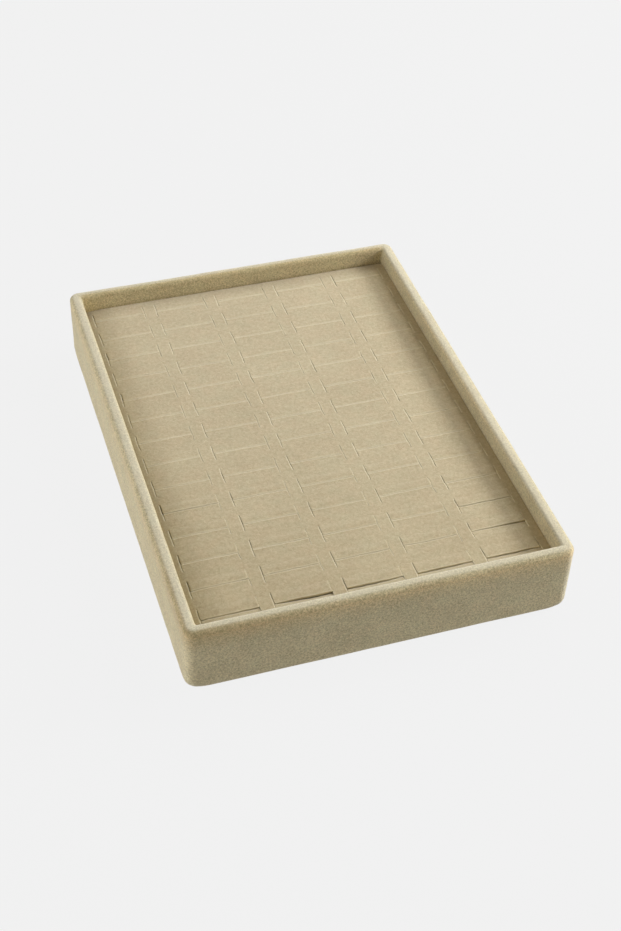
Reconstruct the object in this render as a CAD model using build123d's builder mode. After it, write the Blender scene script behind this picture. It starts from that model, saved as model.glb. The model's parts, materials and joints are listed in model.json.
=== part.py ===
from build123d import *
import math
import os

# A ring tray: a board box wrapped in velvet, holding a lift-out pad. The pad's top is a sheet of
# foam-backed velvet cut into rows of H-shaped slots. Each cut leaves two lips, and a ring pushed
# between them bends both down into the trough below.
# Sizes are in millimetres and angles in degrees. X runs across the tray, Y towards its back and
# Z up, from the middle of the underside.

# The tray over its velvet
tray_width = 181.0
tray_length = 250.0
tray_height = 36.9
corner_radius = 4.5
rim_radius = 2.75
foot_radius = 2.5

# The boards of the box
wall_thickness = 4.6
base_thickness = 3.0
rebate_depth = 1.6
board_clearance = 0.1

# The velvet on the box, and what covers its two sides of the base
velvet_thickness = 0.75
hem_width = 14.0
underside_thickness = 0.5
underside_inset = 3.0
lining_thickness = 0.5

# The lift-out pad
pad_depth = 9.3
pad_thickness = 1.6
pad_corner_radius = 2.0
pad_edge_radius = 1.3
insert_clearance = 0.4
insert_board_thickness = 2.0
skirt_lift = 0.3

# The slots: H-shaped cuts, a crossbar between two slits, set out evenly between the pad's margins
column_count = 5
row_count = 14
side_margin = 3.9
back_margin = 3.7
front_margin = 4.7
divider_width = 6.5
rear_lip_length = 6.2
front_lip_length = 4.8

# The lips that the cuts leave
slit_gap = 0.15
crossbar_gap = 0.2
hinge_gap = 0.12
tip_undercut = 0.25
open_angle = 55.0

# The lattice under the slotted sheet
lattice_clearance = 0.2
slat_height = 3.0
notch_clearance = 0.1

# Extra length of a cutting body past the face that it leaves
overrun = 1.0

# The box's widths and lengths, from the outside in
core_width = tray_width - 2 * velvet_thickness
core_length = tray_length - 2 * velvet_thickness
hollow_width = core_width - 2 * wall_thickness
hollow_length = core_length - 2 * wall_thickness
cavity_width = hollow_width - 2 * velvet_thickness
cavity_length = hollow_length - 2 * velvet_thickness
seat_width = hollow_width + 2 * rebate_depth
seat_length = hollow_length + 2 * rebate_depth

# The box's levels, from the table up
hem_level = underside_thickness
wall_foot_level = hem_level + velvet_thickness
floor_level = wall_foot_level + base_thickness
lining_level = floor_level + lining_thickness
core_top_level = tray_height - velvet_thickness

# The pad's sizes and levels
insert_width = cavity_width - 2 * insert_clearance
insert_length = cavity_length - 2 * insert_clearance
lattice_width = insert_width - 2 * pad_thickness
lattice_length = insert_length - 2 * pad_thickness
lattice_foot_level = lining_level + insert_board_thickness
skirt_foot_level = lining_level + skirt_lift
pad_level = tray_height - pad_depth
lattice_level = pad_level - pad_thickness
lattice_height = lattice_level - lattice_foot_level

# The grid of slots, with what is left between the rows as bridges
grid_width = insert_width - 2 * side_margin
grid_length = insert_length - back_margin - front_margin
column_pitch = (grid_width + divider_width) / column_count
slot_width = column_pitch - divider_width
slit_length = rear_lip_length + front_lip_length
row_pitch = (grid_length - slit_length) / (row_count - 1)
grid_shift = (front_margin - back_margin) / 2
column_places = [(i - (column_count - 1) / 2) * column_pitch for i in range(column_count)]
row_places = [grid_shift + ((row_count - 1) / 2 - i) * row_pitch for i in range(row_count)]
divider_places = [place + column_pitch / 2 for place in column_places[:-1]]

# Lips that a used tray shows out of line, by row and column from the back left: degrees that the
# rear lip stands up, and degrees that the front lip hangs down
front_row = row_count - 1
raised_lips = {
    (front_row, 0): 4.5,
    (front_row, 1): 6.5,
    (front_row, 2): 5.0,
    (front_row, 3): 6.0,
    (front_row, 4): 4.0,
    (front_row - 1, 4): 5.0,
    (front_row - 1, 2): 2.0,
    (front_row - 1, 1): 2.0,
    (front_row - 1, 0): 2.5,
    (front_row - 2, 4): 2.5,
}
sunk_lips = {
    (front_row, 0): 8.0,
    (front_row, 1): 9.0,
    (front_row, 2): 8.0,
    (front_row, 3): 8.5,
    (front_row, 4): 7.0,
    (front_row - 1, 4): 3.0,
}

os.makedirs("parts", exist_ok=True)


def save(builder, name):
    """Labels a finished piece and writes its file."""
    builder.part.label = name
    export_step(builder.part, "parts/" + name + ".step")


def block(width, length, level, height, center_x=0, center_y=0):
    """A rectangular bar or sheet that stands on a level."""
    with BuildPart() as piece:
        with BuildSketch(Plane(origin=(center_x, center_y, level))):
            Rectangle(width, length)
        extrude(amount=height)
    return piece


# The frame of four walls, before it is cut into its mitred sides
with BuildPart() as frame:
    with BuildSketch(Plane.XY.offset(wall_foot_level)):
        RectangleRounded(core_width, core_length, corner_radius - velvet_thickness)
    extrude(amount=core_top_level - wall_foot_level)
    fillet(frame.edges().group_by(Axis.Z)[0], foot_radius - velvet_thickness)
    with BuildSketch(Plane.XY.offset(wall_foot_level)):
        Rectangle(hollow_width, hollow_length)
    extrude(amount=core_top_level - wall_foot_level, mode=Mode.SUBTRACT)
    fillet(frame.edges().group_by(Axis.Z)[-1], rim_radius - velvet_thickness)
    with BuildSketch(Plane.XY.offset(wall_foot_level)):
        Rectangle(seat_width, seat_length)
    extrude(amount=base_thickness, mode=Mode.SUBTRACT)


def wall(name, across, along):
    """One mitred side of the frame, between two outer corners. across and along give its side."""
    outer_x = core_width / 2
    outer_y = core_length / 2
    inner_x = hollow_width / 2
    inner_y = hollow_length / 2
    if along:
        corners = [(-outer_x, along * outer_y), (outer_x, along * outer_y)]
        corners += [(inner_x, along * inner_y), (-inner_x, along * inner_y)]
    else:
        corners = [(across * outer_x, -outer_y), (across * outer_x, outer_y)]
        corners += [(across * inner_x, inner_y), (across * inner_x, -inner_y)]
    with BuildPart() as side:
        add(frame.part)
        with BuildSketch(Plane.XY.offset(wall_foot_level)):
            with BuildLine():
                Polyline(*corners, close=True)
            make_face()
        extrude(amount=core_top_level - wall_foot_level, mode=Mode.INTERSECT)
    save(side, name)


wall("front_wall", 0, -1)
wall("back_wall", 0, 1)
wall("left_wall", -1, 0)
wall("right_wall", 1, 0)

# The base board, in the walls' rebates
base_board = block(
    seat_width - 2 * board_clearance,
    seat_length - 2 * board_clearance,
    wall_foot_level,
    base_thickness,
)
save(base_board, "base_board")

# The velvet: up the outside, over the rim, down the inside and hemmed under the walls
with BuildPart() as wall_velvet:
    with BuildSketch(Plane.XY.offset(hem_level)):
        RectangleRounded(tray_width, tray_length, corner_radius)
    extrude(amount=tray_height - hem_level)
    with BuildSketch(Plane.XY.offset(floor_level)):
        Rectangle(cavity_width, cavity_length)
    extrude(amount=tray_height - floor_level, mode=Mode.SUBTRACT)
    fillet(wall_velvet.edges().group_by(Axis.Z)[-1], rim_radius)
    fillet(wall_velvet.edges().group_by(Axis.Z)[0], foot_radius)
    add(frame.part, mode=Mode.SUBTRACT)
    with BuildSketch(Plane.XY.offset(wall_foot_level)):
        Rectangle(seat_width, seat_length)
    extrude(amount=base_thickness, mode=Mode.SUBTRACT)
    with BuildSketch(Plane.XY.offset(hem_level)):
        Rectangle(tray_width - 2 * hem_width, tray_length - 2 * hem_width)
    extrude(amount=velvet_thickness, mode=Mode.SUBTRACT)
save(wall_velvet, "wall_velvet")

# The sheet glued over the hems, on which the tray stands
with BuildPart() as underside_cover:
    with BuildSketch():
        RectangleRounded(
            tray_width - 2 * underside_inset,
            tray_length - 2 * underside_inset,
            corner_radius - underside_inset,
        )
    extrude(amount=underside_thickness)
save(underside_cover, "underside_cover")

# The velvet paper on the tray's floor
floor_lining = block(
    cavity_width - 2 * board_clearance,
    cavity_length - 2 * board_clearance,
    floor_level,
    lining_thickness,
)
save(floor_lining, "floor_lining")

# The board under the pad's lattice
insert_board = block(lattice_width, lattice_length, lining_level, insert_board_thickness)
save(insert_board, "insert_board")

# The slotted sheet, with its skirts turned down round the lattice
with BuildPart() as slotted_sheet:
    with BuildSketch(Plane.XY.offset(skirt_foot_level)):
        RectangleRounded(insert_width, insert_length, pad_corner_radius)
    extrude(amount=pad_level - skirt_foot_level)
    fillet(slotted_sheet.edges().group_by(Axis.Z)[-1], pad_edge_radius)
    with BuildSketch(Plane.XY.offset(skirt_foot_level)):
        Rectangle(lattice_width, lattice_length)
    extrude(amount=lattice_level - skirt_foot_level, mode=Mode.SUBTRACT)
    with BuildSketch(Plane(origin=(0, grid_shift, lattice_level))):
        with GridLocations(column_pitch, row_pitch, column_count, row_count):
            Rectangle(slot_width, slit_length)
    extrude(amount=pad_thickness, mode=Mode.SUBTRACT)
save(slotted_sheet, "slotted_sheet")

# A lip's root is cut back underneath by as much as it needs to swing down without touching the bar
fold_angle = open_angle + max(sunk_lips.values())
root_undercut = pad_thickness * math.tan(math.radians(fold_angle))


def lips(name, row, way, length, tilts, sign):
    """The lips on one side of a row of slots. way is the side that their tips point to along Y."""
    hinge_y = row_places[row] - way * slit_length / 2
    tip = length - crossbar_gap / 2
    section = [
        (hinge_gap, 0),
        (tip, 0),
        (tip - tip_undercut, -pad_thickness),
        (hinge_gap + root_undercut, -pad_thickness),
    ]
    with BuildPart() as group:
        for column, center_x in enumerate(column_places):
            tilt = math.radians(sign * tilts.get((row, column), 0))
            along_lip = (0, way * math.cos(tilt), math.sin(tilt))
            hinge = (center_x, hinge_y, pad_level)
            with BuildSketch(Plane(origin=hinge, x_dir=along_lip, z_dir=(way, 0, 0))):
                with BuildLine():
                    Polyline(*section, close=True)
                make_face()
            extrude(amount=slot_width / 2 - slit_gap, both=True)
    save(group, name)


for row in range(row_count):
    lips(f"row_{row + 1:02d}_rear_lips", row, -1, rear_lip_length, raised_lips, 1)
    lips(f"row_{row + 1:02d}_front_lips", row, 1, front_lip_length, sunk_lips, -1)

# The two rails that close the ends of the troughs
rail_inner = grid_width / 2 + lattice_clearance
rail_thickness = lattice_width / 2 - rail_inner
for name, side in (("left_rail", -1), ("right_rail", 1)):
    center_x = side * (rail_inner + rail_thickness / 2)
    rail = block(rail_thickness, lattice_length, lattice_foot_level, lattice_height, center_x)
    save(rail, name)

# The slats under the strips between the columns, let into the tops of the bars
slat_width = divider_width - 2 * lattice_clearance
slat_level = lattice_level - slat_height
for number, place in enumerate(divider_places, 1):
    slat = block(slat_width, lattice_length, slat_level, slat_height, place)
    save(slat, f"slat_{number}")


def cross_bar(name, back_y, front_y):
    """A bar across the pad between two edges, notched on top for the slats."""
    center_y = (back_y + front_y) / 2
    with BuildPart() as bar:
        with BuildSketch(Plane(origin=(0, center_y, lattice_foot_level))):
            Rectangle(2 * rail_inner, back_y - front_y)
        extrude(amount=lattice_height)
        with BuildSketch(Plane(origin=(0, center_y, slat_level))):
            with Locations(*[(place, 0) for place in divider_places]):
                Rectangle(slat_width + 2 * notch_clearance, back_y - front_y + 2 * overrun)
        extrude(amount=slat_height, mode=Mode.SUBTRACT)
    save(bar, name)


# Bars stand under the strips between the rows, and at both ends of the grid
back_edges = [lattice_length / 2]
back_edges += [place - slit_length / 2 - lattice_clearance for place in row_places]
front_edges = [place + slit_length / 2 + lattice_clearance for place in row_places]
front_edges += [-lattice_length / 2]
for number, (back_y, front_y) in enumerate(zip(back_edges, front_edges), 1):
    cross_bar(f"cross_bar_{number:02d}", back_y, front_y)

print("slot", round(slot_width, 2), "x", round(slit_length, 2))
print("pitch", round(column_pitch, 2), "x", round(row_pitch, 2))
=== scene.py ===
import bmesh
import bpy
import json
import math
import random
from mathutils import Matrix, Vector, noise


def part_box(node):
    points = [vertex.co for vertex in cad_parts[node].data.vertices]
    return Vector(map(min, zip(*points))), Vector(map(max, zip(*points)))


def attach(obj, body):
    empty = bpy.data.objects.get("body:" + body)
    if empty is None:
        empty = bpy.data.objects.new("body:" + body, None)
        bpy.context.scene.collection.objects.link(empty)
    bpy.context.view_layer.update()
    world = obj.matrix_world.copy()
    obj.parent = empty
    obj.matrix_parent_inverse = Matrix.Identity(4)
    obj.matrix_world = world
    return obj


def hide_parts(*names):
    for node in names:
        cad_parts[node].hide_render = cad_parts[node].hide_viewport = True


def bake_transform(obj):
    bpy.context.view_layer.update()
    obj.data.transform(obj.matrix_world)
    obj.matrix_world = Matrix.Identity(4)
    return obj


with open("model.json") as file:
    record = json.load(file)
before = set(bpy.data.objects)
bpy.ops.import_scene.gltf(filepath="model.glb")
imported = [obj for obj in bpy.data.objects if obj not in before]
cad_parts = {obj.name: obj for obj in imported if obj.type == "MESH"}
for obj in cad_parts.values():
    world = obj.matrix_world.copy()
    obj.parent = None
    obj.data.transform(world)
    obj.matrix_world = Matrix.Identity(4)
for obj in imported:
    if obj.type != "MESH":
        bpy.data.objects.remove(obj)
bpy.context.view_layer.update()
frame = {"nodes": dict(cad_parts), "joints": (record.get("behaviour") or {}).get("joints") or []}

# The box's boards: four mitred walls glued round a base, all of fine fibreboard. The velvet hides
# them, so they keep their CAD shapes and get the brown, short-fibred face of such board.


def add_node(tree, kind, inputs=None, **settings):
    """A shader node with its settings made, and its inputs linked or given a value."""
    made = tree.nodes.new("ShaderNode" + kind)
    for name, value in settings.items():
        setattr(made, name, value)
    for name, value in (inputs or {}).items():
        if isinstance(value, bpy.types.NodeSocket):
            tree.links.new(value, made.inputs[name])
        else:
            made.inputs[name].default_value = value
    return made


def arithmetic(tree, operation, *values):
    """The outcome of one step of arithmetic on numbers and links."""
    return add_node(tree, "Math", dict(enumerate(values)), operation=operation).outputs[0]


def mixed_colour(tree, share, first, second, blend="MIX"):
    """A colour mixed from two, by a share that is a number or a link."""
    inputs = {0: share, 6: first, 7: second}
    return add_node(tree, "Mix", inputs, data_type="RGBA", blend_type=blend).outputs[2]


def new_group(name, inputs, outputs):
    """A shader node group with number inputs and outputs, and its inner sockets."""
    group = bpy.data.node_groups.new(name, "ShaderNodeTree")
    kind = "NodeSocketFloat"
    for label, value in inputs.items():
        socket = group.interface.new_socket(label, in_out="INPUT", socket_type=kind)
        socket.default_value = value
    for label in outputs:
        group.interface.new_socket(label, in_out="OUTPUT", socket_type=kind)
    group_in = group.nodes.new("NodeGroupInput").outputs
    return group, group_in, group.nodes.new("NodeGroupOutput").inputs


def noise_value(tree, place, size, detail, roughness=0.5, distortion=0.0):
    """Noise over the object's own metres, with features of a size in metres."""
    divisor = size if isinstance(size, bpy.types.NodeSocket) else (size, size, size)
    scaled = add_node(tree, "VectorMath", {0: place, 1: divisor}, operation="DIVIDE").outputs[0]
    inputs = {"Vector": scaled, "Scale": 1.0, "Detail": detail}
    inputs.update({"Roughness": roughness, "Distortion": distortion})
    return add_node(tree, "TexNoise", inputs).outputs["Fac"]


def mix_values(tree, parts):
    """The weighted sum of noise values about their middle, with a half added back."""
    total = None
    for value, weight in parts:
        part = arithmetic(tree, "MULTIPLY_ADD", value, weight, -weight / 2)
        total = part if total is None else arithmetic(tree, "ADD", total, part)
    return arithmetic(tree, "ADD", total, 0.5)


# Short pressed fibres, for fibreboard, greyboard and felt
pressed_fibres, group_in, group_out = new_group(
    "pressed_fibres", {"Fibre Size": 0.0008}, ["Tone", "Height"]
)
object_place = add_node(pressed_fibres, "TexCoord").outputs["Object"]
flecks = noise_value(
    pressed_fibres, object_place, group_in["Fibre Size"], detail=6.0, roughness=0.7, distortion=1.5
)
clouds = noise_value(pressed_fibres, object_place, size=0.02, detail=3.0)
fibre_tone = mix_values(pressed_fibres, [(flecks, 0.8), (clouds, 0.5)])
pressed_fibres.links.new(fibre_tone, group_out["Tone"])
pressed_fibres.links.new(flecks, group_out["Height"])


def drifted(tree, colour, drift):
    """A colour that drifts between a rosier and a greener shade of itself."""
    rosier, greener = (1.05, 0.985, 0.975, 1.0), (0.95, 1.015, 1.015, 1.0)
    shade = mixed_colour(tree, drift, rosier, greener)
    return mixed_colour(tree, 1.0, colour, shade, "MULTIPLY")


def textured(name, group, group_inputs, dark, light, bump, roughness, **shader):
    """A material whose colour and relief come from a shared effect. The rest is set on its
    shader."""
    made = bpy.data.materials.new(name)
    made.use_nodes = True
    tree = made.node_tree
    surface = tree.nodes["Principled BSDF"]
    effect = add_node(tree, "Group", group_inputs, node_tree=group)
    colour = mixed_colour(tree, effect.outputs["Tone"], (*dark, 1.0), (*light, 1.0))
    if "Drift" in effect.outputs:
        colour = drifted(tree, colour, effect.outputs["Drift"])
    tree.links.new(colour, surface.inputs["Base Color"])
    relief = add_node(tree, "Bump", {"Height": effect.outputs["Height"], "Distance": bump})
    tree.links.new(relief.outputs[0], surface.inputs["Normal"])
    surface.inputs["Roughness"].default_value = roughness
    for label, value in shader.items():
        surface.inputs[label.replace("_", " ")].default_value = value
    return made


def dress(node, material):
    """Gives a CAD node a material in all its slots."""
    mesh = frame["nodes"][node].data
    mesh.materials.clear()
    mesh.materials.append(material)


fibreboard = textured(
    "fibreboard",
    pressed_fibres,
    {"Fibre Size": 0.0009},
    dark=(0.2, 0.12, 0.06),
    light=(0.42, 0.29, 0.17),
    bump=0.0001,
    roughness=0.85,
)
for board in ("base_board", "front_wall", "back_wall", "left_wall", "right_wall"):
    dress(board, fibreboard)

# The velvet covering: one strip of plush cotton velvet, glued up the outside, over the rim and down
# the inside, and hemmed under the walls.
tray_low, tray_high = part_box("wall_velvet")
half_width, half_length = tray_high.x, tray_high.y
rim_level, hem_level = tray_high.z, tray_low.z
velvet_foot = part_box("floor_lining")[0].z
pad_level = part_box("slotted_sheet")[1].z
covering_thickness = 0.0061
velvet_thickness = 0.00075
corner_radius, inner_corner_radius = 0.0048, 0.0009
rim_radius, inner_rim_radius = 0.0027, 0.0019
front_thinning = 0.0005
foot_level, foot_radius, corner_foot_radius = 0.00008, 0.002, 0.0042
fold_reach, fold_span, fold_fade = 0.010, 0.0086, 0.004
hem_width = 0.014
hem_insets = (hem_width, 0.010, 0.006, 0.004)
turn_insets, turn_drop = (0.0032, 0.0026), 0.0001
hem_back_inset = 0.0042


def ring(a, b, radius, across, along, corner_steps):
    """Points and outward normals round a rounded rectangle of half sides a and b, anticlockwise
    from the front left. across and along are the shares of the front and right sides at which
    points stand, and the back and left sides mirror them."""
    points = []
    back_across, left_along = [
        [0.0, *(1.0 - share for share in reversed(shares[1:]))] for shares in (across, along)
    ]
    sides = [(0, a - radius, b, across), (1, b - radius, a, along)]
    sides += [(2, a - radius, b, back_across), (3, b - radius, a, left_along)]
    for turn, reach, out, shares in sides:
        c, s = (1, 0, -1, 0)[turn], (0, 1, 0, -1)[turn]
        for share in shares:
            x, y = (2 * share - 1) * reach, -out
            points.append((c * x - s * y, s * x + c * y, s, -c))
        for step in range(corner_steps):
            angle = math.pi / 2 * (step / corner_steps - 1)
            nx, ny = math.cos(angle), math.sin(angle)
            x, y = reach + radius * nx, radius - out + radius * ny
            points.append((c * x - s * y, s * x + c * y, c * nx - s * ny, s * nx + c * ny))
    return points


def arc(inset, level, radius, start, stop, steps):
    """A profile's points on an arc about (inset, level): inset, level, and how far they face out
    and up. start and stop are in degrees."""
    made = []
    for step in range(steps + 1):
        angle = math.radians(start + (stop - start) * step / steps)
        out, up = math.cos(angle), math.sin(angle)
        made.append((inset - radius * out, level + radius * up, out, up))
    return made


def steps_between(low, high, steps):
    """Even steps from low to high, with both ends."""
    return [low + (high - low) * step / steps for step in range(steps + 1)]


def swept(profile, a, b, radius_at, across, along, corner_steps, closed=True, shift=None):
    """Vertices and faces of a profile swept round a rounded rectangle. shift moves each point
    outwards."""
    verts, faces = [], []
    count = 0
    for inset, level, out, up in profile:
        points = ring(a - inset, b - inset, radius_at(inset), across, along, corner_steps)
        count = len(points)
        for x, y, nx, ny in points:
            point = Vector((x, y, level))
            if shift:
                point += shift(point, out) * Vector((nx * out, ny * out, up))
            verts.append(point)
    rows = len(profile)
    for row in range(rows if closed else rows - 1):
        here, there = row * count, (row + 1) % rows * count
        for i in range(count):
            j = (i + 1) % count
            faces.append((here + i, here + j, there + j, there + i))
    return verts, faces


weld_reach = 0.000002
crease_angle = math.radians(48)


def piece(name, verts, faces, material, body, attributes=None):
    """A mesh object with smooth faces, welded where its strips meet, riding on a body."""
    mesh = bpy.data.meshes.new(name)
    mesh.from_pydata([tuple(v) for v in verts], [], faces)
    for label, values in (attributes or {}).items():
        mesh.attributes.new(label, "FLOAT", "POINT").data.foreach_set("value", values)
    mesh.polygons.foreach_set("use_smooth", [True] * len(mesh.polygons))
    mesh.materials.append(material)
    form = bmesh.new()
    form.from_mesh(mesh)
    bmesh.ops.remove_doubles(form, verts=form.verts, dist=weld_reach)
    form.to_mesh(mesh)
    form.free()
    mesh.validate()
    mesh.set_sharp_from_angle(angle=crease_angle)
    made = bpy.data.objects.new(name, mesh)
    bpy.context.scene.collection.objects.link(made)
    if body:
        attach(made, body)
    return made


# Velvet's pile: tufts that lean together, clouds where the nap was stroked, and single fibres
velvet_pile, group_in, group_out = new_group(
    "velvet_pile",
    {"Tuft Size": 0.0012, "Cloud Size": 0.03, "Tuft Weight": 0.9, "Cloud Weight": 0.5},
    ["Tone", "Height", "Drift"],
)
fibre_weight, fibre_height, pile_lift = 0.9, 0.35, 0.05
object_place = add_node(velvet_pile, "TexCoord").outputs["Object"]
tufts = noise_value(
    velvet_pile, object_place, group_in["Tuft Size"], detail=3.0, roughness=0.8, distortion=0.6
)
naps = noise_value(velvet_pile, object_place, group_in["Cloud Size"], detail=2.0)
fibres = noise_value(velvet_pile, object_place, size=0.0003, detail=2.0, roughness=0.6)
tuft_part = arithmetic(velvet_pile, "SUBTRACT", tufts, 0.5)
tuft_part = arithmetic(velvet_pile, "MULTIPLY", tuft_part, group_in["Tuft Weight"])
nap_part = arithmetic(velvet_pile, "SUBTRACT", naps, 0.5)
nap_part = arithmetic(
    velvet_pile, "MULTIPLY_ADD", nap_part, group_in["Cloud Weight"], tuft_part
)
fibre_part = arithmetic(velvet_pile, "MULTIPLY_ADD", fibres, fibre_weight, nap_part)
pile_tone = arithmetic(velvet_pile, "ADD", fibre_part, pile_lift)
pile_height = arithmetic(velvet_pile, "MULTIPLY_ADD", fibres, fibre_height, tufts)
pile_drift = noise_value(
    velvet_pile, object_place, size=0.009, detail=3.0, roughness=0.6, distortion=0.5
)
velvet_pile.links.new(pile_tone, group_out["Tone"])
velvet_pile.links.new(pile_height, group_out["Height"])
velvet_pile.links.new(pile_drift, group_out["Drift"])

plush = textured(
    "plush_velvet",
    velvet_pile,
    {"Tuft Size": 0.0009, "Cloud Size": 0.012, "Tuft Weight": 4.3, "Cloud Weight": 0.55},
    dark=(0.477, 0.394, 0.216),
    light=(0.84, 0.72, 0.44),
    bump=0.00033,
    roughness=0.95,
    Sheen_Weight=0.6,
    Sheen_Roughness=0.45,
    Sheen_Tint=(1.0, 1.0, 0.98, 1.0),
    Specular_IOR_Level=0.1,
)


def tinted(material, mask, tint, blend="MULTIPLY", share=1.0):
    """Multiplies a material's colour by a tint, or mixes the tint in, under a mask of the mesh."""
    tree = material.node_tree
    base = tree.nodes["Principled BSDF"].inputs["Base Color"]
    covered = add_node(tree, "Attribute", attribute_name=mask).outputs["Fac"]
    covered = arithmetic(tree, "MULTIPLY", covered, share)
    colour = mixed_colour(tree, covered, base.links[0].from_socket, (*tint, 1.0), blend)
    tree.links.new(colour, base)


# Wear and a painted highlight: the rim's top is paler and whiter
tinted(plush, "wear", (1.03, 1.09, 1.27))
tinted(plush, "wear", (0.685, 0.62, 0.455), "MIX", 0.5)
# Painted shade: darker at the foot of the inner walls and along the back rim's inner edge
tinted(plush, "dust", (0.8, 0.76, 0.68))
tinted(plush, "grip", (1.05, 0.98, 0.88))
# Darker round the front left corner, just below the rim
tinted(plush, "handled", (0.83, 0.77, 0.68))
# Painted light: paler just below the front rim and on the right wall's inner rounding
tinted(plush, "rubbed", (1.27, 1.23, 1.2))

# The covering's profile, from the hem's edge round the outside to the foot of the inside, and back
# along the boards
foot_centre = foot_level + foot_radius
rim_centre, inner_rim_centre = rim_level - rim_radius, rim_level - inner_rim_radius
top_inset = covering_thickness - inner_rim_radius
wall_steps, foot_steps, rim_steps, board_steps = 20, 6, 8, 4
turn_in, turn_out = turn_insets
face_levels = steps_between(foot_centre, rim_centre, wall_steps)
inner_levels = steps_between(inner_rim_centre, velvet_foot, wall_steps)
profile = [(inset, hem_level, 0, -1) for inset in hem_insets]
profile += [(turn_in, hem_level - turn_drop, 0, -1), (turn_out, foot_level + turn_drop, 0, -1)]
profile += arc(foot_radius, foot_centre, foot_radius, -90, 0, foot_steps)
profile += [(0, level, 1, 0) for level in face_levels[1:-1]]
profile += arc(rim_radius, rim_centre, rim_radius, 0, 90, rim_steps)
profile += [((rim_radius + top_inset) / 2, rim_level, 0, 1)]
profile += arc(top_inset, inner_rim_centre, inner_rim_radius, 90, 180, rim_steps)
profile += [(covering_thickness, level, -1, 0) for level in inner_levels[1:]]


def against_board(inset, level, radius, start, stop):
    """An arc of the velvet's glued face, a velvet's thickness under its pile. It faces nowhere, so
    the unevenness of the pile doesn't move it."""
    bend = arc(inset, level, radius - velvet_thickness, start, stop, board_steps)
    return [(inset, level, 0, 0) for inset, level, _, _ in bend]


profile += [(covering_thickness - velvet_thickness, velvet_foot, 0, 0)]
profile += against_board(top_inset, inner_rim_centre, inner_rim_radius, 180, 90)
profile += against_board(rim_radius, rim_centre, rim_radius, 90, 0)
profile += against_board(foot_radius, foot_centre, foot_radius, 0, -70)
profile += [(inset, hem_level + velvet_thickness, 0, 0) for inset in (hem_back_inset, hem_width)]

broad_wave, broad_size = 0.00012, 0.03
close_wave, close_size, close_shift = 0.00006, 0.008, Vector((7, 3, 1))


def covering_radius(inset):
    """The covering's corner radius at an inset."""
    return max(corner_radius - inset, inner_corner_radius)


def covering_wave(point, out):
    """How far the glued velvet stands out: its soft unevenness over the boards."""
    broad = noise.noise(point / broad_size)
    close = noise.noise(point / close_size + close_shift)
    return broad_wave * broad + close_wave * close


across_steps, along_steps, corner_steps = 90, 126, 8
verts, faces = swept(
    profile,
    half_width,
    half_length,
    covering_radius,
    [i / across_steps for i in range(across_steps)],
    [i / along_steps for i in range(along_steps)],
    corner_steps,
    shift=covering_wave,
)
ring_count = len(verts) // len(profile)


def foot_inset(radius, level):
    """How far a foot of a radius stands in at a level."""
    below = max(radius - (level - foot_level), 0.0)
    return radius - math.sqrt(max(radius ** 2 - below ** 2, 0.0))


def within(share):
    """A share kept between 0 and 1."""
    return min(max(share, 0.0), 1.0)


# Inside along the front the covering is thinner. At the corners it is folded under, so its foot
# there is rounder than along the sides.
inset_slack, level_slack, foot_slack = 0.0002, 0.0001, 0.00001
for i, point in enumerate(verts):
    inset = profile[i // ring_count][0]
    inside = inset > top_inset - inset_slack and point.z > velvet_foot - level_slack
    if inside and point.y < inset_slack + covering_thickness - half_length:
        point.y -= front_thinning
    if point.z > foot_level + corner_foot_radius:
        continue
    near_side = abs(point.x) - (half_width - fold_reach)
    near_end = abs(point.y) - (half_length - fold_reach)
    near = within(min(near_side, near_end) / fold_span)
    radius = foot_radius + (corner_foot_radius - foot_radius) * near ** 2 * (3 - 2 * near)
    moved = (radius - foot_radius) * max(1.0 - (inset - foot_radius) / fold_fade, 0.0)
    if inset < foot_radius + foot_slack:
        moved = foot_inset(radius, point.z) - foot_inset(foot_radius, point.z)
    away_x = max(abs(point.x) - (half_width - corner_radius), 0.0)
    away_y = max(abs(point.y) - (half_length - corner_radius), 0.0)
    reach = math.hypot(away_x, away_y)
    if reach:
        point.x -= math.copysign(moved * away_x / reach, point.x)
        point.y -= math.copysign(moved * away_y / reach, point.y)

# How far each mask covers the covering at each point, from 0 to 1: painted shade, wear with a
# painted highlight, a browner band, a darker front left corner and painted light. Lengths are in
# metres. Starts and spans without a unit are of how far the pile faces up.
pad_shade_start, pad_shade_height = 0.0006, 0.0022
edge_shade_start, edge_shade_height = 0.0004, 0.0018
edge_shade_inset, edge_shade_width, edge_shade_ends = 0.0025, 0.002, 0.004
outer_wear_highlight_start, outer_wear_highlight_span = 0.8, 0.2
inner_wear_highlight_start, inner_wear_highlight_span = 0.4, 0.5
wear_highlight_level, wear_highlight_change, wear_highlight_size = 0.9, 0.12, 0.006
grip_start, grip_height = 0.0014, 0.011
front_left_dark_height, front_left_dark_span, front_left_dark_reach = 0.013, 0.08, 0.06
front_reach, inner_edge_reach = 0.003, 0.0066
front_light_start, front_light_span, front_light_height = 0.8, 0.3, 0.008
front_light_middle, front_light_lean = 0.9, 0.155
edge_light_rise, edge_light_fall = 0.4, 0.1
edge_light_middle, edge_light_reach = 0.02, 0.08
masks = {label: [] for label in ("wear", "dust", "grip", "handled", "rubbed")}
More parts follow.
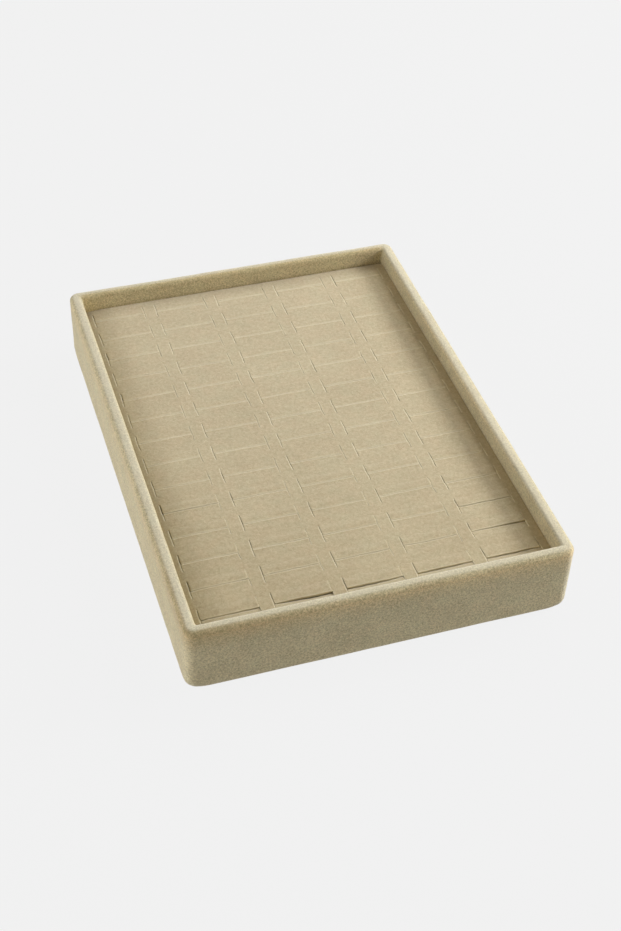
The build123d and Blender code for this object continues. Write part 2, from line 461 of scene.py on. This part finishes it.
for i, point in enumerate(verts):
    _, _, out, up = profile[i // ring_count]
    below = rim_level - point.z

    # Painted shade darkens it inside, just above the pad and along the back wall's upper edge
    edge_shade = 0.0
    if point.y > half_length - inner_edge_reach:
        edge_shade = within(1.0 - (below - edge_shade_start) / edge_shade_height)
        edge_shade *= within((half_length - point.y - edge_shade_inset) / edge_shade_width)
        edge_shade *= within((half_width - abs(point.x) - edge_shade_ends) / edge_shade_ends)
    above = point.z - (pad_level - pad_shade_start)
    pad_shade = within(1.0 - above / pad_shade_height) if out < 0 else 0.0
    masks["dust"].append(max(pad_shade, edge_shade))

    # Paler along the top of the rim, the more the pile faces up: partly wear, partly a painted
    # highlight
    worn = (up - inner_wear_highlight_start) / inner_wear_highlight_span
    if out > 0:
        worn = (up - outer_wear_highlight_start) / outer_wear_highlight_span
    patchy = wear_highlight_level + wear_highlight_change * noise.noise(point / wear_highlight_size)
    masks["wear"].append(within(worn) * (1.0 - edge_shade) * patchy)

    # Outside it is browner below the rim, where the tray is held
    under_rim = below - rim_radius / 2
    gripped = within(1.0 - under_rim / grip_height) * within(under_rim / grip_start)
    masks["grip"].append(gripped if out > 0 else 0.0)

    # It is darkest round the front left corner, just below the rim
    apart = math.hypot(point.x + half_width, point.y + half_length)
    band = within(1.0 - below / front_left_dark_height) * within((1.0 - up) / front_left_dark_span)
    handled = band * math.exp(-((apart / front_left_dark_reach) ** 2))
    masks["handled"].append(handled if out > 0 else 0.0)

    # Painted light makes it paler just below the rim in front, and round the right wall's inner
    # edge
    rubbed = 0.0
    if out > 0 and point.y < front_reach - half_length:
        rubbed = within((front_light_start - up) / front_light_span)
        rubbed *= within(1.0 - below / front_light_height)
        rubbed *= min(front_light_middle + point.x / front_light_lean, 1.0)
    if out < 0 and point.x > half_width - inner_edge_reach:
        rubbed = within(up / edge_light_rise) * within((1.0 - up) / edge_light_fall)
        rubbed *= math.exp(-(((point.y - edge_light_middle) / edge_light_reach) ** 2))
    masks["rubbed"].append(rubbed)
covering = piece("velvet_covering", verts, faces, plush, "tray", masks)
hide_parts("wall_velvet")

# The underside cover: a sheet of thin brown felt, cut with rounded corners and glued over the hems,
# so that the tray slides on a counter without scratching it.
flat_side_steps, flat_edge_steps, flat_corner_steps = 24, 3, 6


def laid_sheet(name, node, radius, edge, material, body):
    """A thin flat sheet with softened edges, in the place of a CAD sheet."""
    low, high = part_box(node)
    lower = arc(edge, low.z + edge, edge, -90, 0, flat_edge_steps)
    upper = arc(edge, high.z - edge, edge, 0, 90, flat_edge_steps)
    profile = [(edge, low.z, 0, -1), *lower[1:], *upper]
    shares = steps_between(0, 1, flat_side_steps)[:-1]
    verts, faces = swept(
        profile,
        high.x,
        high.y,
        lambda inset: radius,
        shares,
        shares,
        flat_corner_steps,
        closed=False,
    )
    count = len(verts) // len(profile)
    faces.append(tuple(range(count))[::-1])
    faces.append(tuple(range(len(verts) - count, len(verts))))
    made = piece(name, verts, faces, material, body)
    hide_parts(node)


felt = textured(
    "brown_felt",
    pressed_fibres,
    {"Fibre Size": 0.0006},
    dark=(0.16, 0.115, 0.07),
    light=(0.3, 0.23, 0.15),
    bump=0.0002,
    roughness=0.95,
    Sheen_Weight=0.3,
)
laid_sheet(
    "underside_felt",
    "underside_cover",
    radius=0.001,
    edge=0.0003,
    material=felt,
    body="tray",
)

# The floor lining: velvet paper, a flocked sheet that covers the base inside the tray. It shows
# only when the pad is lifted out.
flocked = textured(
    "flocked_lining",
    velvet_pile,
    {"Tuft Size": 0.0007, "Cloud Size": 0.05, "Tuft Weight": 0.5, "Cloud Weight": 0.4},
    dark=(0.3, 0.25, 0.155),
    light=(0.5, 0.43, 0.29),
    bump=0.0002,
    roughness=0.95,
    Sheen_Weight=0.3,
)
laid_sheet(
    "flocked_floor",
    "floor_lining",
    radius=0.0005,
    edge=0.0002,
    material=flocked,
    body="tray",
)

# The insert board: a cut sheet of grey pasteboard under the whole pad. It stiffens the pad, and the
# foam is glued to its upper face.
greyboard = textured(
    "greyboard",
    pressed_fibres,
    {"Fibre Size": 0.0012},
    dark=(0.2, 0.19, 0.17),
    light=(0.36, 0.34, 0.3),
    bump=0.0001,
    roughness=0.8,
)
dress("insert_board", greyboard)

# The foam lattice: bars, rails and slats cut from a slab of closed-cell foam and glued on edge. The
# gaps between the bars are the troughs that ring shanks drop into.
cell_foam, group_in, group_out = new_group("cell_foam", {"Cell Size": 0.0005}, ["Tone", "Height"])
object_place = add_node(cell_foam, "TexCoord").outputs["Object"]
cell_place = {0: object_place, 1: group_in["Cell Size"]}
scaled = add_node(cell_foam, "VectorMath", cell_place, operation="DIVIDE").outputs[0]
cells = add_node(cell_foam, "TexVoronoi", {"Vector": scaled, "Scale": 1.0}).outputs["Distance"]
clouds = noise_value(cell_foam, object_place, size=0.008, detail=3.0)
cell_foam.links.new(mix_values(cell_foam, [(cells, 0.6), (clouds, 0.5)]), group_out["Tone"])
cell_foam.links.new(cells, group_out["Height"])
foam = textured(
    "cut_foam",
    cell_foam,
    {"Cell Size": 0.0006},
    dark=(0.3, 0.25, 0.17),
    light=(0.5, 0.43, 0.31),
    bump=0.00015,
    roughness=0.9,
)
for name in frame["nodes"]:
    if name.startswith(("cross_bar", "slat_")) or name.endswith("_rail"):
        dress(name, foam)

# The slotted sheet: thin suede-like velvet on foam, stretched over the lattice and turned down its
# four sides. Each slot is two slits with a cut between them, die-cut through velvet and foam.
sheet_low, sheet_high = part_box("slotted_sheet")
pad_thickness = 0.0016
slit_gap = 0.00015
columns = 5
divider_width = 0.0065
rows = sum(name.endswith("_rear_lips") for name in frame["nodes"])
first_used_row, first_lifted_row = 9, 12
hinges = {joint["name"]: joint["pos_m"][1] for joint in frame["joints"] if "pos_m" in joint}
rear_hinges = [hinges[f"row_{row + 1:02d}_rear_fold"] for row in range(rows)]
front_hinges = [hinges[f"row_{row + 1:02d}_front_fold"] for row in range(rows)]
slit_length = rear_hinges[0] - front_hinges[0]
lips_low, lips_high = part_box("row_01_rear_lips")
grid_width = lips_high.x - lips_low.x + 2 * slit_gap
slot_width = (grid_width + divider_width) / columns - divider_width
slots = [-grid_width / 2 + column * (slot_width + divider_width) for column in range(columns)]

# The cut between the lips lies towards the front of each slot, and furthest in the last row
rear_share, last_rear_share = 6.2 / 11, 7.1 / 11
rear_lengths = [slit_length * rear_share] * (rows - 1) + [slit_length * last_rear_share]
cut_lines = [hinge - length for hinge, length in zip(rear_hinges, rear_lengths)]

# Where the cut edges' lines stand, out from an edge, and how the velvet's edge is formed
edge_lines = [0.00004, 0.00012, 0.00025, 0.00045, 0.0008]
edge_round, edge_depth = 0.00055, 0.00028
edge_ridge, ridge_reach = 0.00004, 0.0008
worn_depth, worn_fray_and_highlight, worn_reach = 0.5, 1.4, 0.00045
cut_waver, wander_reach, waver_size = 0.0003, 0.003, 0.004


def edge_height(distance, share=1.0):
    """The height of the velvet near a cut edge: a slight ridge that then rounds over."""
    ridge = edge_ridge * math.sin(math.pi * min(distance / ridge_reach, 1.0))
    over = max(1.0 - distance / edge_round, 0.0)
    drop = edge_depth * (1.0 - math.sqrt(max(1.0 - over ** 2, 0.0)))
    return share * (ridge - drop)


def edge_fray_and_highlight(distance):
    """How far the cut edge is paler there, as frayed pile and as a painted highlight, from 1 at the
    edge to 0.
    """
    return max(1.0 - distance / ridge_reach, 0.0)


# How the pad is pulled down near its edges, and how painted shade browns and darkens it there and
# towards the front, as shares and reaches
left_pull, end_pull, pull_reach = 0.0006, 0.0001, 0.0035
pull_inset = 0.003
broad_rise, broad_rise_size = 0.00012, 0.05
close_rise, close_rise_size = 0.00005, 0.012
front_middle, front_lean, front_left_shade = 0.75, 0.5, 0.3
right_hue_reach = 0.006
left_hue, left_hue_reach = 0.5, 0.004
left_shadow, left_shadow_reach = 0.9, 0.0033
back_shadow, back_shadow_reach = 0.1, 0.012
front_shadow, front_shadow_reach = 0.3, 0.006


def pad_edges(x, y):
    """The distances to the pad's left, right and nearer end edge."""
    return sheet_high.x + x, sheet_high.x - x, sheet_high.y - abs(y)


def edge_share(distance, reach):
    """How strongly the pad's edge tells at a distance from it."""
    return math.exp((pull_inset - distance) / reach)


def pad_wave(x, y):
    """The pad's own unevenness, shared by sheet and lips: it is pulled down along its edges."""
    broad = noise.noise(Vector((x, y, 0)) / broad_rise_size)
    close = noise.noise(Vector((x, y, 0.01)) / close_rise_size)
    height = broad_rise * broad + close_rise * close
    left, _, end = pad_edges(x, y)
    for pull, distance in ((left_pull, left), (end_pull, end)):
        height -= pull * edge_share(max(distance, 0.0), pull_reach)
    return height


def front_share(x, y):
    """How far a place lies to the front of the pad, and to its left."""
    return max(-y, 0.0) / sheet_high.y * (front_middle - front_lean * x / sheet_high.x)


def shade_hue_share(x, y):
    """How far painted shade browns the pad, along its long edges and towards the front left."""
    left, right, _ = pad_edges(x, y)
    turned = edge_share(right, right_hue_reach) + left_hue * edge_share(left, left_hue_reach)
    return min(turned + front_left_shade * front_share(x, y), 1.0)


def soil(x, y):
    """How far painted shadow darkens the pile: by the left wall, near both ends, and towards the
    front left.
    """
    left, _, end = pad_edges(x, y)
    shadowed = left_shadow * edge_share(left, left_shadow_reach)
    if y > 0:
        shadowed += back_shadow * edge_share(end, back_shadow_reach)
    else:
        shadowed += front_shadow * edge_share(end, front_shadow_reach)
    return min(shadowed + front_left_shade * front_share(x, y), 1.0)


def cut_wander(x, y):
    """How far the cuts wander from straight, sideways and along, at a place on the pad. Each slit
    and each cut takes its own line through the noise."""
    column = min(range(2 * columns), key=lambda k: abs(x - slots[k // 2] - k % 2 * slot_width))
    slit = slots[column // 2] + column % 2 * slot_width
    row = min(range(rows), key=lambda k: abs(y - cut_lines[k]))
    beside = max(1.0 - abs(x - slit) / wander_reach, 0.0)
    before = max(1.0 - abs(y - cut_lines[row]) / wander_reach, 0.0)
    sideways = cut_waver * beside * noise.noise(Vector((y / waver_size, 3.7 * column, 1.5)))
    along = cut_waver * before * noise.noise(Vector((x / waver_size, 5.3 * row, 8.5)))
    return sideways, along


def slit_distance(x, y):
    """The distance to the nearest slit, the share of its full depth that it has there, and whether
    it is worn, as the right-hand slits of the used rows are."""
    best, share, worn = 1.0, 1.0, False
    for left in slots:
        for edge in (left, left + slot_width):
            for row in range(rows):
                y_near = min(max(y, front_hinges[row]), rear_hinges[row])
                distance = math.hypot(x - edge, y - y_near)
                if distance < best:
                    best = distance
                    from_end = min(y_near - front_hinges[row], rear_hinges[row] - y_near)
                    share = min(from_end / ridge_reach, 1.0)
                    worn = row >= first_used_row and edge > left
    return best, share, worn


# The sheet's top is a grid whose lines close up along the cuts
inner_inset = 0.003
patch_half_width = sheet_high.x - inner_inset
patch_half_length = sheet_high.y - inner_inset
strip_pitch, slot_pitch, lip_pitch = 0.0012, 0.0011, 0.003
merge_reach = 0.000008


def lines_between(low, high, pitch, fine_low, fine_high):
    """Grid lines from low to high, with fine ones near the ends that are cut edges."""
    made = [low, high]
    made += [low + step for step in edge_lines] if fine_low else []
    made += [high - step for step in edge_lines] if fine_high else []
    first = low + (edge_lines[-1] if fine_low else 0)
    last = high - (edge_lines[-1] if fine_high else 0)
    steps = max(1, round((last - first) / pitch))
    made += [first + (last - first) * step / steps for step in range(1, steps)]
    return made


def merged_lines(lines):
    """The lines in order, with any that all but coincide taken as one."""
    kept = []
    for line in sorted(set(lines)):
        if not kept or line - kept[-1] > merge_reach:
            kept.append(line)
    return kept


x_lines = []
previous = -patch_half_width
for column, left in enumerate(slots):
    right = left + slot_width
    x_lines += lines_between(previous, left, strip_pitch, column > 0, True)
    x_lines += lines_between(left, right, lip_pitch, False, False)
    previous = right
x_lines += lines_between(previous, patch_half_width, strip_pitch, True, False)
y_lines = []
previous = patch_half_length
for front_hinge, rear_hinge in zip(front_hinges, rear_hinges):
    y_lines += lines_between(rear_hinge, previous, strip_pitch, False, False)
    y_lines += lines_between(front_hinge, rear_hinge, slot_pitch, True, True)
    previous = front_hinge
y_lines += lines_between(-patch_half_length, previous, strip_pitch, False, False)
x_lines, y_lines = merged_lines(x_lines), merged_lines(y_lines)


def in_slot(x, y):
    """Whether a place on the pad is in a slot's opening."""
    across = any(left < x < left + slot_width for left in slots)
    return across and any(front_hinges[row] < y < rear_hinges[row] for row in range(rows))


verts, faces, fray = [], [], []
for y in y_lines:
    for x in x_lines:
        distance, share, worn = slit_distance(x, y)
        depth = share * worn_depth if worn else share
        verts.append((x, y, pad_level + (edge_height(distance, depth) + pad_wave(x, y))))
        frayed_and_highlighted = edge_fray_and_highlight(distance)
        # The worn slits' pale edge is wider and stronger: frayed pile and painted highlight
        if worn:
            frayed_and_highlighted = worn_fray_and_highlight * max(1.0 - distance / worn_reach, 0.0)
        fray.append(share * frayed_and_highlighted)
across = len(x_lines)
layer = across * len(y_lines)
verts += [(x, y, pad_level - pad_thickness) for y in y_lines for x in x_lines]
fray += [0.0] * layer
open_cells = set()
for j in range(len(y_lines) - 1):
    for i in range(across - 1):
        if in_slot((x_lines[i] + x_lines[i + 1]) / 2, (y_lines[j] + y_lines[j + 1]) / 2):
            open_cells.add((i, j))
for j in range(len(y_lines) - 1):
    for i in range(across - 1):
        if (i, j) in open_cells:
            continue
        a = j * across + i
        faces.append((a, a + 1, a + across + 1, a + across))
        faces.append((layer + a, layer + a + across, layer + a + across + 1, layer + a + 1))
        walls = [((i - 1, j), a + across, a), ((i + 1, j), a + 1, a + across + 1)]
        walls += [((i, j - 1), a, a + 1), ((i, j + 1), a + across + 1, a + across)]
        for beside, first, second in walls:
            if beside in open_cells:
                faces.append((first, layer + first, layer + second, second))

# The skirt: the sheet's border rolls over the lattice's edge and hangs down its four sides
skirt_corner_radius = 0.002
roll_width, roll_drop, roll_steps = 0.001, 0.0002, 9
skirt_swell, skirt_steps, skirt_corner_steps = 0.00035, 8, 6
skirt_rise, skirt_rise_size = 0.00005, 0.012
across_shares = [(x + patch_half_width) / (2 * patch_half_width) for x in x_lines[:-1]]
along_shares = [(y + patch_half_length) / (2 * patch_half_length) for y in y_lines[:-1]]


def skirt_radius(inset):
    """The skirt's corner radius at an inset."""
    return skirt_corner_radius * within(1 - inset / inner_inset) ** 0.5


def skirt_wave(point, out):
    """How far the skirt's outer face stands out: its soft unevenness."""
    return skirt_rise * noise.noise(point / skirt_rise_size) if out == 1 else 0.0


skirt = [(inner_inset, pad_level, 0, 1)]
for step in range(roll_steps + 1):
    angle = math.radians(90 * step / roll_steps)
    out, up = math.sin(angle), math.cos(angle)
    inset = roll_width - (roll_width + skirt_swell) * out
    skirt.append((inset, pad_level - roll_drop * (1 - up), out, up))
skirt_levels = steps_between(pad_level - roll_drop, sheet_low.z, skirt_steps)
for step, level in enumerate(skirt_levels[1:], 1):
    skirt.append((-skirt_swell * (1 - step / skirt_steps) ** 2, level, 1, 0))
skirt.append((pad_thickness, sheet_low.z, 0, 0))
skirt += [(inset, pad_level - pad_thickness, 0, 0) for inset in (pad_thickness, inner_inset)]
skirt_verts, skirt_faces = swept(
    skirt,
    sheet_high.x,
    sheet_high.y,
    skirt_radius,
    across_shares,
    along_shares,
    skirt_corner_steps,
    closed=False,
    shift=skirt_wave,
)
for point in skirt_verts:
    from_top = (pad_level - point.z) / pad_thickness
    if from_top < 1.0:
        point.z += pad_wave(point.x, point.y) * (1.0 - from_top)
faces += [tuple(len(verts) + i for i in face)[::-1] for face in skirt_faces]
verts += skirt_verts
fray += [0.0] * len(skirt_verts)

suede = textured(
    "suede_velvet",
    velvet_pile,
    {"Tuft Size": 0.0016, "Cloud Size": 0.03, "Tuft Weight": 2.3, "Cloud Weight": 0.6},
    dark=(0.446, 0.353, 0.211),
    light=(0.606, 0.515, 0.332),
    bump=0.0002,
    roughness=0.95,
    Sheen_Weight=0.5,
    Sheen_Roughness=0.5,
    Sheen_Tint=(1.0, 1.0, 0.98, 1.0),
    Specular_IOR_Level=0.1,
)
# Cut edges are paler: partly frayed pile, partly a painted highlight
tinted(suede, "fray", (0.8, 0.72, 0.52), "MIX", 0.75)
# Painted shade: browner by the right wall, at the left edge and towards the front left
tinted(suede, "turned", (1.08, 1.0, 0.8))
# Painted shadow: darker by the left wall, near both ends and towards the front left
tinted(suede, "soil", (0.64, 0.68, 0.74))


def pad_piece(name, verts, faces, fray, body):
    """A piece of the pad's velvet, with its masks, and with its cuts' wander."""
    masks = {"fray": fray}
    masks["turned"] = [shade_hue_share(vert[0], vert[1]) for vert in verts]
    masks["soil"] = [soil(vert[0], vert[1]) for vert in verts]
    for i, (x, y, z) in enumerate(verts):
        sideways, along = cut_wander(x, y)
        verts[i] = (x + sideways, y + along, z)
    return piece(name, verts, faces, suede, body, masks)


slotted = pad_piece("slotted_velvet", verts, faces, fray, "insert")
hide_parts("slotted_sheet")

# The lips: the velvet and foam between a slot's cuts, still joined to the sheet along the hinge. A
# rear lip is the longer. The ones in the front rows have been used, and no longer lie quite flat.
side_gap, tip_gap = 0.00005, 0.00005
bend_length = 0.0012
skin = 0.00035
tip_slope = 0.00025
undercut = pad_thickness * math.tan(math.radians(64))
rear_crown, front_crown = 0.0002, -0.0001
lip_waver = 0.00004
used_rise, loose_rise = 0.00004, 0.00008
side_fray_and_highlight_share, tip_fray_and_highlight = 0.4, 0.8
root_lines, root_end, run_pitch = [0, 0.0002, 0.0005, 0.0009], 0.0014, 0.001

# How far the tips of used lips stand above the pad at their left corner, middle and right corner,
# by row and column from the back left
rear_rises = {
    (9, 0): (0.0001, 0.0002, 0.0001),
    (11, 4): (0.0001, 0.0001, 0.0001),
    (12, 0): (0.0001, 0.0001, 0.0001),
    (12, 4): (0.0, 0.0001, 0.0003),
    (13, 0): (0.0, 0.0001, 0.0001),
    (13, 1): (0.0, 0.0003, 0.0003),
    (13, 2): (0.0002, 0.0002, 0.0),
    (13, 3): (0.0001, 0.0002, 0.0001),
    (13, 4): (0.0001, 0.0001, 0.0001),
}
front_rises = {
    (11, 4): (-0.0001, -0.0002, -0.0001),
    (12, 4): (-0.0002, -0.0004, -0.0008),
    (13, 0): (-0.0003, -0.0004, -0.0006),
    (13, 1): (-0.0003, -0.0011, -0.0011),
    (13, 2): (-0.0008, -0.0009, -0.0003),
    (13, 3): (-0.0006, -0.0008, -0.0005),
    (13, 4): (-0.0005, -0.0008, -0.0004),
}

# How far rear lips have drawn away from their left-hand slits, by column and row from the back left
left_gaps = [
    {
        0: 0.00015, 1: 0.00015, 2: 0.0003, 4: 0.0003, 8: 0.0001,
        9: 0.0003, 10: 0.00015, 11: 0.00025, 12: 0.0003,
    },
    {9: 0.00006, 10: 0.00018, 11: 0.00012, 12: 0.00014, 13: 0.00018},
    {11: 0.00004, 12: 0.00006, 13: 0.0001},
    {13: 0.00006},
    {},
]
lip_random = random.Random(11)


def lip(row, column, way, hinge_y, length, rises, verts, faces, fray):
    """Adds one lip: its top, its underside, cut back near the hinge, and its cut edges. way is -1
    for a rear lip, which points forwards from its hinge, and 1 for a front lip."""
    left = slots[column] + side_gap + (left_gaps[column].get(row, 0.0) if way < 0 else 0.0)
    right = slots[column] + slot_width - side_gap
    tip = length - tip_gap
    xs = merged_lines(lines_between(left, right, lip_pitch, True, True))
    top_runs = merged_lines(root_lines + lines_between(root_end, tip, run_pitch, False, True))
    under_runs = [0.0, undercut, tip - tip_slope]
    wander = lip_random.uniform(0, 100)
    base = len(verts)

    def height(x, s):
        """The top's height above the pad's level at x, a run s from the hinge."""
        share = (x - left) / (right - left)
        rise = rises[0] * (1 - share) * (1 - 2 * share) + rises[1] * 4 * share * (1 - share)
        rise += rises[2] * share * (2 * share - 1)
        run = s * s / (2 * bend_length) if s < bend_length else s - bend_length / 2
        rise *= run / (tip - bend_length / 2)
        if row >= first_used_row:
            crown = rear_crown if way < 0 else front_crown
            rise += crown * math.sin(math.pi * s / tip) ** 2
        side = min(x - left, right - x)
        from_root = min(s / ridge_reach, 1.0)
        waver = lip_waver * noise.noise(Vector((x / waver_size, s / waver_size, wander)))
        edge = edge_height(side, from_root)
        edge += edge_height(tip - s) if tip - s < side else 0.0
        flat = pad_wave(x, hinge_y + way * s)
        return rise + edge + flat + waver * from_root

    def put(x, s, z, frayed_and_highlighted):
        """Adds a point at x, a run s from the hinge, and its fray and painted highlight."""
        verts.append((x, hinge_y + way * s, pad_level + z))
        fray.append(frayed_and_highlighted)

    for s in top_runs:
        from_root = min(s / ridge_reach, 1.0)
        for x in xs:
            side_fray_and_highlight = side_fray_and_highlight_share * edge_fray_and_highlight(min(x - left, right - x)) * from_root
            put(x, s, height(x, s), max(side_fray_and_highlight, edge_fray_and_highlight(tip - s)))
    for x in xs:
        put(x, 0.0, pad_wave(x, hinge_y) - skin, 0.0)
    for s, frayed_and_highlighted in zip(under_runs[1:], (0.0, tip_fray_and_highlight)):
        for x in xs:
            put(x, s, height((left + right) / 2, s) - pad_thickness, frayed_and_highlighted)

    def quad(a, b, c, d):
        """Adds a face, turned outwards whichever way the lip points."""
        faces.append((a, b, c, d) if way > 0 else (d, c, b, a))

    across = len(xs)
    top_rows, under_rows = len(top_runs), len(under_runs)
    for j in range(top_rows - 1):
        for i in range(across - 1):
            a = base + j * across + i
            quad(a, a + 1, a + across + 1, a + across)
    lower = base + top_rows * across
    for j in range(under_rows - 1):
        for i in range(across - 1):
            a = lower + j * across + i
            quad(a, a + across, a + across + 1, a + 1)
    for i in range(across - 1):
        root, end = base + i, base + (top_rows - 1) * across + i
        quad(root, lower + i, lower + i + 1, root + 1)
        last = lower + (under_rows - 1) * across + i
        quad(end, end + 1, last + 1, last)
    for i in (0, across - 1):
        side = [base + j * across + i for j in range(top_rows)]
        side += [lower + j * across + i for j in reversed(range(under_rows))]
        faces.append(tuple(side) if (i == 0) == (way > 0) else tuple(reversed(side)))


for row, rear_length in enumerate(rear_lengths):
    slot_length = rear_hinges[row] - front_hinges[row]
    for kind, way, hinge_y, length, table in (
        ("rear", -1, rear_hinges[row], rear_length, rear_rises),
        ("front", 1, front_hinges[row], slot_length - rear_length, front_rises),
    ):
        # In the last rows rear lips stand a little higher than front ones, and elsewhere lower
        middle = -way * used_rise if row >= first_lifted_row else way * used_rise
        verts, faces, fray = [], [], []
        for column in range(columns):
            loose = [middle + lip_random.uniform(-loose_rise, loose_rise) for _ in range(3)]
            rises = table.get((row, column), loose)
            lip(row, column, way, hinge_y, length, rises, verts, faces, fray)
        name = f"row_{row + 1:02d}_{kind}_lips"
        made = pad_piece(f"velvet_{name}", verts, faces, fray, None)
        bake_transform(made)
        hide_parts(name)

# The studio: a pale floor and sky, soft boxes to the right, behind and to the left, a small low one
# at the front right, and a low strip along the left side. The floor and the sky look brighter than
# they shine, as a cut-out backdrop does.
floor_reach = 6.0
floor_look, floor_shine = 0.86, 0.63
sky_look, sky_shine = 0.88, 0.1


def paler_to_the_eye(tree, shown, shining):
    """A strength that is one number as seen and another as light."""
    seen = add_node(tree, "LightPath").outputs["Is Camera Ray"]
    return arithmetic(tree, "MULTIPLY_ADD", seen, shown - shining, shining)


floor_mesh = bpy.data.meshes.new("floor")
floor_corners = [(-1, -1), (1, -1), (1, 1), (-1, 1)]
floor_points = [(floor_reach * x, floor_reach * y, 0) for x, y in floor_corners]
floor_mesh.from_pydata(floor_points, [], [(0, 1, 2, 3)])
floor = bpy.data.objects.new("floor", floor_mesh)
bpy.context.scene.collection.objects.link(floor)
pale = bpy.data.materials.new("pale_floor")
pale.use_nodes = True
surface = pale.node_tree.nodes["Principled BSDF"]
surface.inputs["Base Color"].default_value = (0.02, 0.02, 0.02, 1.0)
surface.inputs["Roughness"].default_value = 1.0
surface.inputs["Specular IOR Level"].default_value = 0.0
surface.inputs["Emission Color"].default_value = (1.0, 1.0, 1.0, 1.0)
floor_strength = paler_to_the_eye(pale.node_tree, floor_look, floor_shine)
pale.node_tree.links.new(floor_strength, surface.inputs["Emission Strength"])
floor_mesh.materials.append(pale)

world = bpy.data.worlds.new("studio")
bpy.context.scene.world = world
world.use_nodes = True
sky = world.node_tree.nodes["Background"]
sky.inputs["Color"].default_value = (1.0, 1.0, 1.0, 1.0)
sky_strength = paler_to_the_eye(world.node_tree, sky_look, sky_shine)
world.node_tree.links.new(sky_strength, sky.inputs["Strength"])


def soft_box(name, azimuth, elevation, distance, width, height, power, level=0.0):
    """A soft light, aimed at the tray's middle. Azimuth 0 is right behind it, 90 to its right."""
    a, e = math.radians(azimuth), math.radians(elevation)
    away = Vector((math.sin(a) * math.cos(e), math.cos(a) * math.cos(e), math.sin(e)))
    data = bpy.data.lights.new(name, "AREA")
    data.shape = "RECTANGLE"
    data.size, data.size_y = width, height
    data.energy = power
    light = bpy.data.objects.new(name, data)
    light.rotation_mode = "QUATERNION"
    light.rotation_quaternion = away.to_track_quat("Z", "Y")
    light.location = away * distance + Vector((0, 0, level))
    light.visible_camera = False
    bpy.context.scene.collection.objects.link(light)


# Azimuth and elevation, distance, width and height, and power
soft_box("right_box", 90, 28, 1.3, 0.45, 0.35, 16.0)
soft_box("back_right_box", 66, 44, 1.3, 0.45, 0.35, 3.4)
soft_box("back_box", 40, 40, 1.3, 0.45, 0.35, 3.7)
soft_box("left_box", -90, 30, 1.3, 0.45, 0.35, 4.5)
soft_box("back_left_box", -62, 20, 1.3, 0.45, 0.35, 1.9)
soft_box("front_right_box", 130, 12, 0.5, 0.3, 0.15, 0.18)
soft_box("left_strip", -90, 0, 0.45, 0.6, 0.03, 0.5, level=0.018)

# The camera, where the photograph's was: in front and to the left, looking down at the tray
view_azimuth = math.radians(19.212)
view_elevation = math.radians(42.704)
view_roll = math.radians(2.241)
view_distance = 0.76079
sideways, upwards = 0.00445, -0.02689
aim = Vector((0.0, 0.0, rim_level))
level_share = math.cos(view_elevation)
forward = Vector((
    math.sin(view_azimuth) * level_share,
    math.cos(view_azimuth) * level_share,
    -math.sin(view_elevation),
))
camera = bpy.data.objects.new("camera", bpy.data.cameras.new("camera"))
camera.data.lens = 60.206
camera.data.sensor_width = 36
turn = (-forward).to_track_quat("Z", "Y").to_matrix() @ Matrix.Rotation(view_roll, 3, "Z")
camera.rotation_mode = "QUATERNION"
camera.rotation_quaternion = turn.to_quaternion()
camera.location = aim + turn @ Vector((sideways, upwards, view_distance))
bpy.context.scene.collection.objects.link(camera)
bpy.context.scene.camera = camera
bpy.context.scene.view_settings.view_transform = "Standard"
